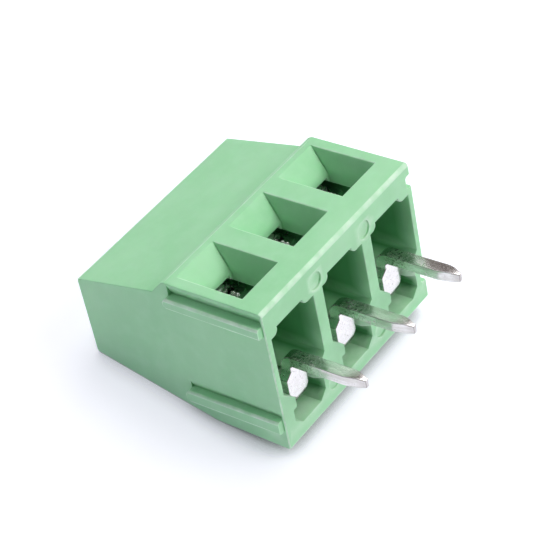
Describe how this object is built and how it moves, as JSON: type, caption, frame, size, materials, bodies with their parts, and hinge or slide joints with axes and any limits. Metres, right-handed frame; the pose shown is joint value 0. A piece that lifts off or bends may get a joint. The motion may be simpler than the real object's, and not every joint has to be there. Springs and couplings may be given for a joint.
{
  "type": "pcb screw terminal",
  "caption": "Row of screw clamps in one green moulded wedge, with wire funnels in front, screws sunk in the top and solder pins below.",
  "frame": {"origin": "axis of the middle solder pin in the plane of the circuit board", "axes": "+X along the row towards the grooved end, +Y from the wire entries to the back, +Z away from the board towards the screws"},
  "size_m": [0.0156, 0.0104, 0.0188],
  "materials": {
    "housing_plastic": "fine satin moulding, light green",
    "tinned_strip": "matt tin plate with forming marks",
    "plated_cage": "nickel plate, sheared edges",
    "plated_screw": "bright zinc plate"
  },
  "bodies": {
    "block": {"housing": "housing_plastic", "contact_strip_1": "tinned_strip", "contact_strip_2": "tinned_strip", "contact_strip_3": "tinned_strip"},
    "screw_1": {"clamp_screw_1": "plated_screw"},
    "cage_1": {"clamp_cage_1": "plated_cage"},
    "screw_2": {"clamp_screw_2": "plated_screw"},
    "cage_2": {"clamp_cage_2": "plated_cage"},
    "screw_3": {"clamp_screw_3": "plated_screw"},
    "cage_3": {"clamp_cage_3": "plated_cage"}
  },
  "joints": [
    {"name": "screw_1_turn", "type": "hinge", "parent": "block", "child": "screw_1", "pos_m": [-0.00508, -0.00095, 0.0113], "axis": [0, 0, -1], "range_deg": [-2160, 0]},
    {"name": "cage_1_rise", "type": "slide", "parent": "block", "child": "cage_1", "axis": [0, 0, 1], "range_m": [-0.0027, 0]},
    {"name": "screw_2_turn", "type": "hinge", "parent": "block", "child": "screw_2", "pos_m": [0, -0.00095, 0.0113], "axis": [0, 0, -1], "range_deg": [-2160, 0]},
    {"name": "cage_2_rise", "type": "slide", "parent": "block", "child": "cage_2", "axis": [0, 0, 1], "range_m": [-0.0027, 0]},
    {"name": "screw_3_turn", "type": "hinge", "parent": "block", "child": "screw_3", "pos_m": [0.00508, -0.00095, 0.0113], "axis": [0, 0, -1], "range_deg": [-2160, 0]},
    {"name": "cage_3_rise", "type": "slide", "parent": "block", "child": "cage_3", "axis": [0, 0, 1], "range_m": [-0.0027, 0]}
  ],
  "couplings": [
    {"joint": "screw_1_turn", "follows": "cage_1_rise", "rad_per_m": 13963},
    {"joint": "screw_2_turn", "follows": "cage_2_rise", "rad_per_m": 13963},
    {"joint": "screw_3_turn", "follows": "cage_3_rise", "rad_per_m": 13963}
  ]
}
